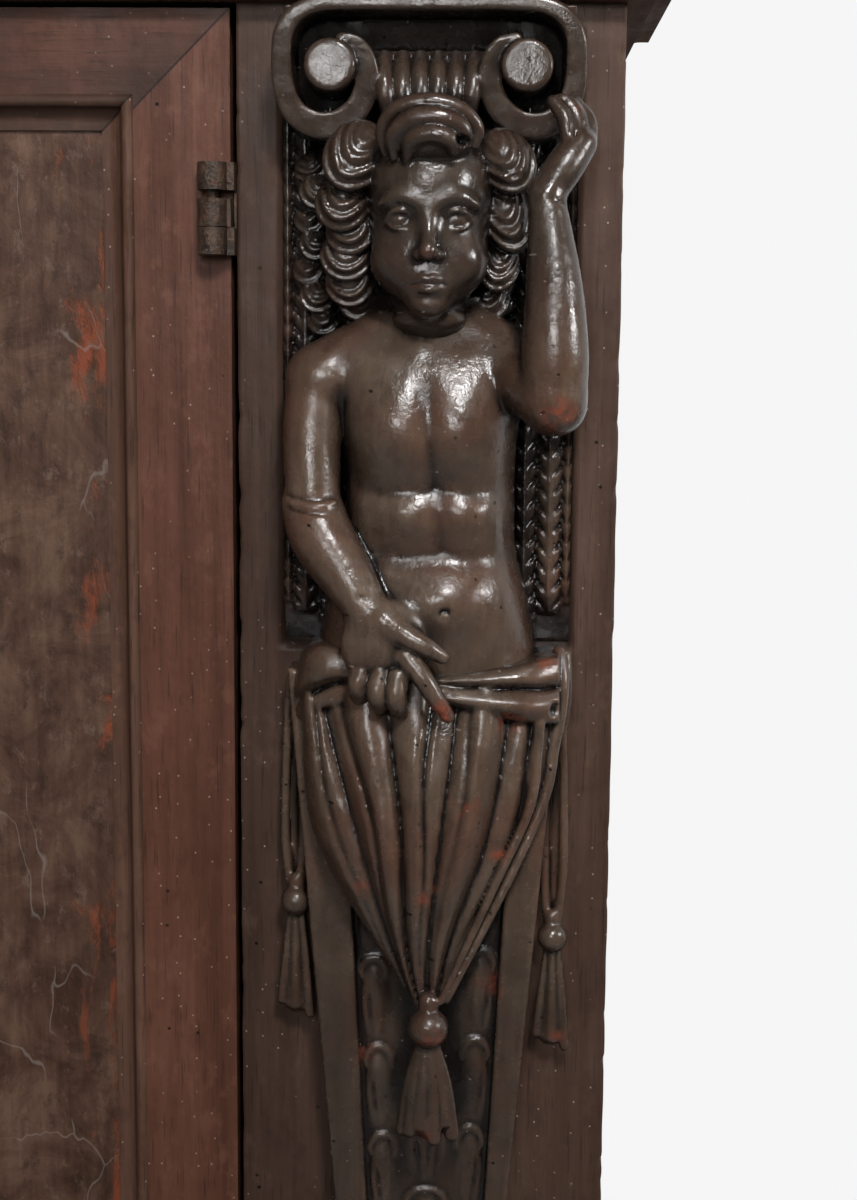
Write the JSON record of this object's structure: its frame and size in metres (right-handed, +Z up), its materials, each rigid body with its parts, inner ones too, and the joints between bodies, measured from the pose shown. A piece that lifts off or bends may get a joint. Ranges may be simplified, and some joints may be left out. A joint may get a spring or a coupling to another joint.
{
  "type": "two-part sideboard",
  "caption": "Tall two-part walnut sideboard: doors with sunk painted panels, a row of drawers, and carved winged putto terms on the corner stiles.",
  "frame": {"origin": "on the floor, under the middle of the piece's bounding box", "axes": "+Z up, the doors face -Y, +X to the right when facing the doors"},
  "size_m": [1.616, 0.558, 2.086],
  "materials": {
    "carved_walnut": "dark glossy varnish, worn",
    "case_walnut": "dark satin varnish",
    "door_walnut": "reddish satin varnish",
    "painted_panel": "painted as dark marble, varnished",
    "inner_wood": "unfinished",
    "iron": "dark worn wrought iron"
  },
  "bodies": {
    "upper_case": {"architrave": "case_walnut", "cornice": "case_walnut", "upper_back": "inner_wood", "upper_base_moulding": "case_walnut", "upper_bottom": "inner_wood", "upper_head_rail": "case_walnut", "upper_hinge_leaves": "iron", "upper_left_side": "case_walnut", "upper_left_stile": "case_walnut", "upper_left_term": "carved_walnut", "upper_right_side": "case_walnut", "upper_right_stile": "case_walnut", "upper_right_term": "carved_walnut", "upper_shelf": "inner_wood", "upper_top": "inner_wood"},
    "lower_case": {"bun_feet": "case_walnut", "drawer_guides": "inner_wood", "dust_board": "inner_wood", "locating_strips": "inner_wood", "lower_back": "inner_wood", "lower_bottom": "inner_wood", "lower_hinge_leaves": "iron", "lower_left_side": "case_walnut", "lower_left_stile": "case_walnut", "lower_left_term": "carved_walnut", "lower_right_side": "case_walnut", "lower_right_stile": "case_walnut", "lower_right_term": "carved_walnut", "lower_shelf": "inner_wood", "lower_top": "case_walnut", "lower_top_rail": "case_walnut", "plinth_moulding": "case_walnut", "waist_moulding": "case_walnut"},
    "left_drawer": {"left_drawer_box": "inner_wood", "left_drawer_front": "door_walnut", "left_drawer_knob": "case_walnut"},
    "lower_bolt": {"lower_bolt": "iron"},
    "lower_key": {"lower_key": "iron"},
    "lower_left_door": {"lower_left_door_frame": "door_walnut", "lower_left_door_irons": "iron", "lower_left_door_moulding": "door_walnut", "lower_left_door_panel": "painted_panel"},
    "lower_right_door": {"lower_right_door_frame": "door_walnut", "lower_right_door_irons": "iron", "lower_right_door_moulding": "door_walnut", "lower_right_door_panel": "painted_panel"},
    "right_drawer": {"right_drawer_box": "inner_wood", "right_drawer_front": "door_walnut", "right_drawer_knob": "case_walnut"},
    "upper_bolt": {"upper_bolt": "iron"},
    "upper_key": {"upper_key": "iron"},
    "upper_left_door": {"upper_left_door_frame": "door_walnut", "upper_left_door_irons": "iron", "upper_left_door_moulding": "door_walnut", "upper_left_door_panel": "painted_panel"},
    "upper_right_door": {"upper_right_door_frame": "door_walnut", "upper_right_door_irons": "iron", "upper_right_door_moulding": "door_walnut", "upper_right_door_panel": "painted_panel"}
  },
  "joints": [
    {"name": "upper_case_lift", "type": "slide", "parent": "lower_case", "child": "upper_case", "axis": [0, 0, 1], "range_m": [0, 0.04]},
    {"name": "lower_left_door_hinge", "type": "hinge", "parent": "lower_case", "child": "lower_left_door", "pos_m": [-0.514, -0.199, 0.5245], "axis": [0, 0, -1], "range_deg": [0, 105]},
    {"name": "lower_right_door_hinge", "type": "hinge", "parent": "lower_case", "child": "lower_right_door", "pos_m": [0.514, -0.199, 0.5245], "axis": [0, 0, 1], "range_deg": [0, 105]},
    {"name": "lower_key_turn", "type": "hinge", "parent": "lower_right_door", "child": "lower_key", "pos_m": [0.0265, -0.191, 0.5245], "axis": [0, 1, 0], "range_deg": [0, 90]},
    {"name": "lower_bolt_slide", "type": "slide", "parent": "lower_right_door", "child": "lower_bolt", "axis": [-1, 0, 0], "range_m": [0, 0.009]},
    {"name": "upper_left_door_hinge", "type": "hinge", "parent": "upper_case", "child": "upper_left_door", "pos_m": [-0.474, -0.069, 1.531], "axis": [0, 0, -1], "range_deg": [0, 105]},
    {"name": "upper_right_door_hinge", "type": "hinge", "parent": "upper_case", "child": "upper_right_door", "pos_m": [0.474, -0.069, 1.531], "axis": [0, 0, 1], "range_deg": [0, 105]},
    {"name": "upper_key_turn", "type": "hinge", "parent": "upper_right_door", "child": "upper_key", "pos_m": [0.0265, -0.061, 1.531], "axis": [0, 1, 0], "range_deg": [0, 90]},
    {"name": "upper_bolt_slide", "type": "slide", "parent": "upper_right_door", "child": "upper_bolt", "axis": [-1, 0, 0], "range_m": [0, 0.009]},
    {"name": "left_drawer_slide", "type": "slide", "parent": "lower_case", "child": "left_drawer", "axis": [0, -1, 0], "range_m": [0, 0.3]},
    {"name": "right_drawer_slide", "type": "slide", "parent": "lower_case", "child": "right_drawer", "axis": [0, -1, 0], "range_m": [0, 0.3]}
  ],
  "couplings": [
    {"joint": "lower_key_turn", "follows": "lower_bolt_slide", "rad_per_m": 174.53},
    {"joint": "upper_key_turn", "follows": "upper_bolt_slide", "rad_per_m": 174.53}
  ]
}
